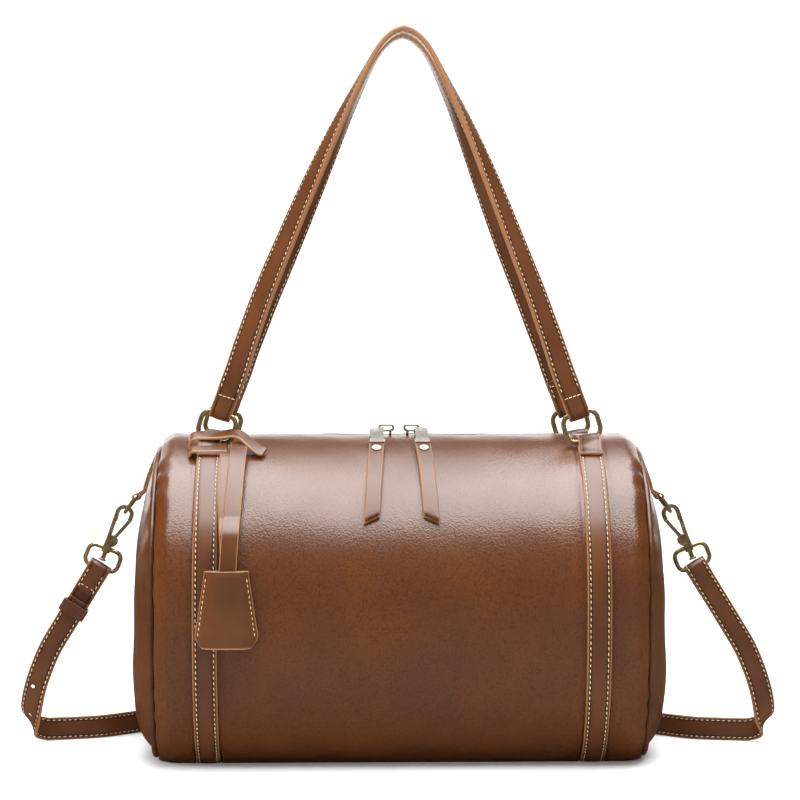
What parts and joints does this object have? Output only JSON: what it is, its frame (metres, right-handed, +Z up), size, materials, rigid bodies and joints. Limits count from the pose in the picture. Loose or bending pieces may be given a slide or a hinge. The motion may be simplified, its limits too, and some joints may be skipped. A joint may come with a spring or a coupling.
{
  "type": "barrel bag",
  "caption": "Leather barrel handbag with a zipped top, ring-mounted handles, a clip-on shoulder strap, leather zip pulls and a key bell on a lace.",
  "frame": {"origin": "middle of the flat base, on the floor", "axes": "+X along the barrel to the right seen from the front, -Y to the front, +Z up"},
  "size_m": [0.4902, 0.2475, 0.4655],
  "materials": {
    "body_leather": "glossy, fine pebble grain",
    "trim_leather": "smooth, satin",
    "lining_cloth": "woven, matte",
    "board": "fibre board, matte",
    "zip_tape": "woven, matte",
    "zip_metal": "dark plated, polished",
    "old_brass": "antiqued, polished",
    "nickel": "nickel plated"
  },
  "bodies": {
    "bag": {"barrel_panel": "body_leather", "left_end_panel": "body_leather", "right_end_panel": "body_leather", "left_piping": "trim_leather", "right_piping": "trim_leather", "left_body_strap": "trim_leather", "right_body_strap": "trim_leather", "left_side_tab": "trim_leather", "right_side_tab": "trim_leather", "lace_wrap": "trim_leather", "barrel_lining": "lining_cloth", "left_end_lining": "lining_cloth", "right_end_lining": "lining_cloth", "slip_pocket": "lining_cloth", "base_board": "board", "zip_tape_front": "zip_tape", "zip_tape_rear": "zip_tape", "zip_teeth_front": "zip_metal", "zip_teeth_rear": "zip_metal", "zip_stops": "zip_metal"},
    "front_left_ring": {"front_left_ring": "old_brass"},
    "front_right_ring": {"front_right_ring": "old_brass"},
    "rear_left_ring": {"rear_left_ring": "old_brass"},
    "rear_right_ring": {"rear_right_ring": "old_brass"},
    "front_handle": {"front_handle": "trim_leather"},
    "rear_handle": {"rear_handle": "trim_leather"},
    "left_side_ring": {"left_side_ring": "old_brass"},
    "right_side_ring": {"right_side_ring": "old_brass"},
    "crossbody_strap": {"long_strap": "trim_leather", "short_strap": "trim_leather", "strap_stud": "nickel", "left_clasp_eye": "old_brass", "right_clasp_eye": "old_brass"},
    "left_clasp": {"left_clasp_hook": "old_brass", "left_gate_pin": "zip_metal", "left_gate_spring": "zip_metal", "left_swivel_stud": "old_brass"},
    "right_clasp": {"right_clasp_hook": "old_brass", "right_gate_pin": "zip_metal", "right_gate_spring": "zip_metal", "right_swivel_stud": "old_brass"},
    "left_gate": {"left_clasp_gate": "old_brass"},
    "right_gate": {"right_clasp_gate": "old_brass"},
    "keeper": {"strap_keeper": "trim_leather"},
    "left_slider": {"left_slider": "zip_metal"},
    "right_slider": {"right_slider": "zip_metal"},
    "left_pull": {"left_pull_ring": "zip_metal", "left_pull_clamp": "zip_metal", "left_pull_rivet": "nickel", "left_zip_pull": "trim_leather"},
    "right_pull": {"right_pull_ring": "zip_metal", "right_pull_clamp": "zip_metal", "right_pull_rivet": "nickel", "right_zip_pull": "trim_leather"},
    "lace": {"lace": "trim_leather"},
    "bell": {"bell_front": "trim_leather", "bell_back": "trim_leather", "key_ring": "nickel"}
  },
  "joints": [
    {"name": "front_left_ring_tilt", "type": "hinge", "parent": "bag", "child": "front_left_ring", "pos_m": [-0.118, -0.03663, 0.20149], "axis": [1, 0, 0], "range_deg": [0, 25]},
    {"name": "front_right_ring_tilt", "type": "hinge", "parent": "bag", "child": "front_right_ring", "pos_m": [0.118, -0.03663, 0.20149], "axis": [1, 0, 0], "range_deg": [0, 25]},
    {"name": "rear_left_ring_tilt", "type": "hinge", "parent": "bag", "child": "rear_left_ring", "pos_m": [-0.118, 0.03663, 0.20149], "axis": [-1, 0, 0], "range_deg": [0, 25]},
    {"name": "rear_right_ring_tilt", "type": "hinge", "parent": "bag", "child": "rear_right_ring", "pos_m": [0.118, 0.03663, 0.20149], "axis": [-1, 0, 0], "range_deg": [0, 25]},
    {"name": "front_handle_fold", "type": "hinge", "parent": "front_left_ring", "child": "front_handle", "pos_m": [-0.116, -0.03663, 0.22129], "axis": [1, 0, 0], "range_deg": [0, 70]},
    {"name": "rear_handle_fold", "type": "hinge", "parent": "rear_left_ring", "child": "rear_handle", "pos_m": [-0.116, 0.03663, 0.22129], "axis": [-1, 0, 0], "range_deg": [0, 70]},
    {"name": "left_side_ring_tilt", "type": "hinge", "parent": "bag", "child": "left_side_ring", "pos_m": [-0.16946, 0, 0.16384], "axis": [0, 1, 0], "range_deg": [-2, 2]},
    {"name": "right_side_ring_tilt", "type": "hinge", "parent": "bag", "child": "right_side_ring", "pos_m": [0.16946, 0, 0.16384], "axis": [0, 1, 0], "range_deg": [-2, 2]},
    {"name": "strap_swing", "type": "hinge", "parent": "bag", "child": "crossbody_strap", "pos_m": [0, 0, 0.1544], "axis": [1, 0, 0], "range_deg": [0, 12]},
    {"name": "left_clasp_swivel", "type": "hinge", "parent": "crossbody_strap", "child": "left_clasp", "pos_m": [-0.19024, 0, 0.12694], "axis": [0.3665, 0, 0.9304], "range_deg": [-10, 10]},
    {"name": "right_clasp_swivel", "type": "hinge", "parent": "crossbody_strap", "child": "right_clasp", "pos_m": [0.19024, 0, 0.12694], "axis": [-0.3665, 0, 0.9304], "range_deg": [-10, 10]},
    {"name": "left_gate_open", "type": "hinge", "parent": "left_clasp", "child": "left_gate", "pos_m": [-0.18588, 0, 0.13446], "axis": [0, -1, 0], "range_deg": [0, 16], "stiffness_Nm_per_rad": 0.003, "springref_deg": -20.05},
    {"name": "right_gate_open", "type": "hinge", "parent": "right_clasp", "child": "right_gate", "pos_m": [0.18588, 0, 0.13446], "axis": [0, 1, 0], "range_deg": [0, 16], "stiffness_Nm_per_rad": 0.003, "springref_deg": -20.05},
    {"name": "keeper_slide", "type": "slide", "parent": "crossbody_strap", "child": "keeper", "axis": [-0.5225, 0, -0.8526], "range_m": [0, 0.007]},
    {"name": "left_slider_travel", "type": "slide", "parent": "bag", "child": "left_slider", "axis": [-1, 0, 0], "range_m": [0, 0.062]},
    {"name": "right_slider_travel", "type": "slide", "parent": "bag", "child": "right_slider", "axis": [1, 0, 0], "range_m": [0, 0.08]},
    {"name": "left_pull_lift", "type": "hinge", "parent": "left_slider", "child": "left_pull", "pos_m": [-0.008, -0.009, 0.20641], "axis": [-1, 0, 0], "range_deg": [0, 90]},
    {"name": "right_pull_lift", "type": "hinge", "parent": "right_slider", "child": "right_pull", "pos_m": [0.008, -0.009, 0.20641], "axis": [-1, 0, 0], "range_deg": [0, 90]},
    {"name": "lace_lift", "type": "hinge", "parent": "bag", "child": "lace", "pos_m": [-0.1013, -0.0533, 0.19532], "axis": [-1, 0, 0], "range_deg": [0, 45]},
    {"name": "bell_lift", "type": "hinge", "parent": "lace", "child": "bell", "pos_m": [-0.106, -0.107, 0.1217], "axis": [-1, 0, 0], "range_deg": [0, 15]}
  ],
  "couplings": [
    {"joint": "front_right_ring_tilt", "follows": "front_left_ring_tilt", "ratio": 1},
    {"joint": "rear_right_ring_tilt", "follows": "rear_left_ring_tilt", "ratio": 1}
  ]
}
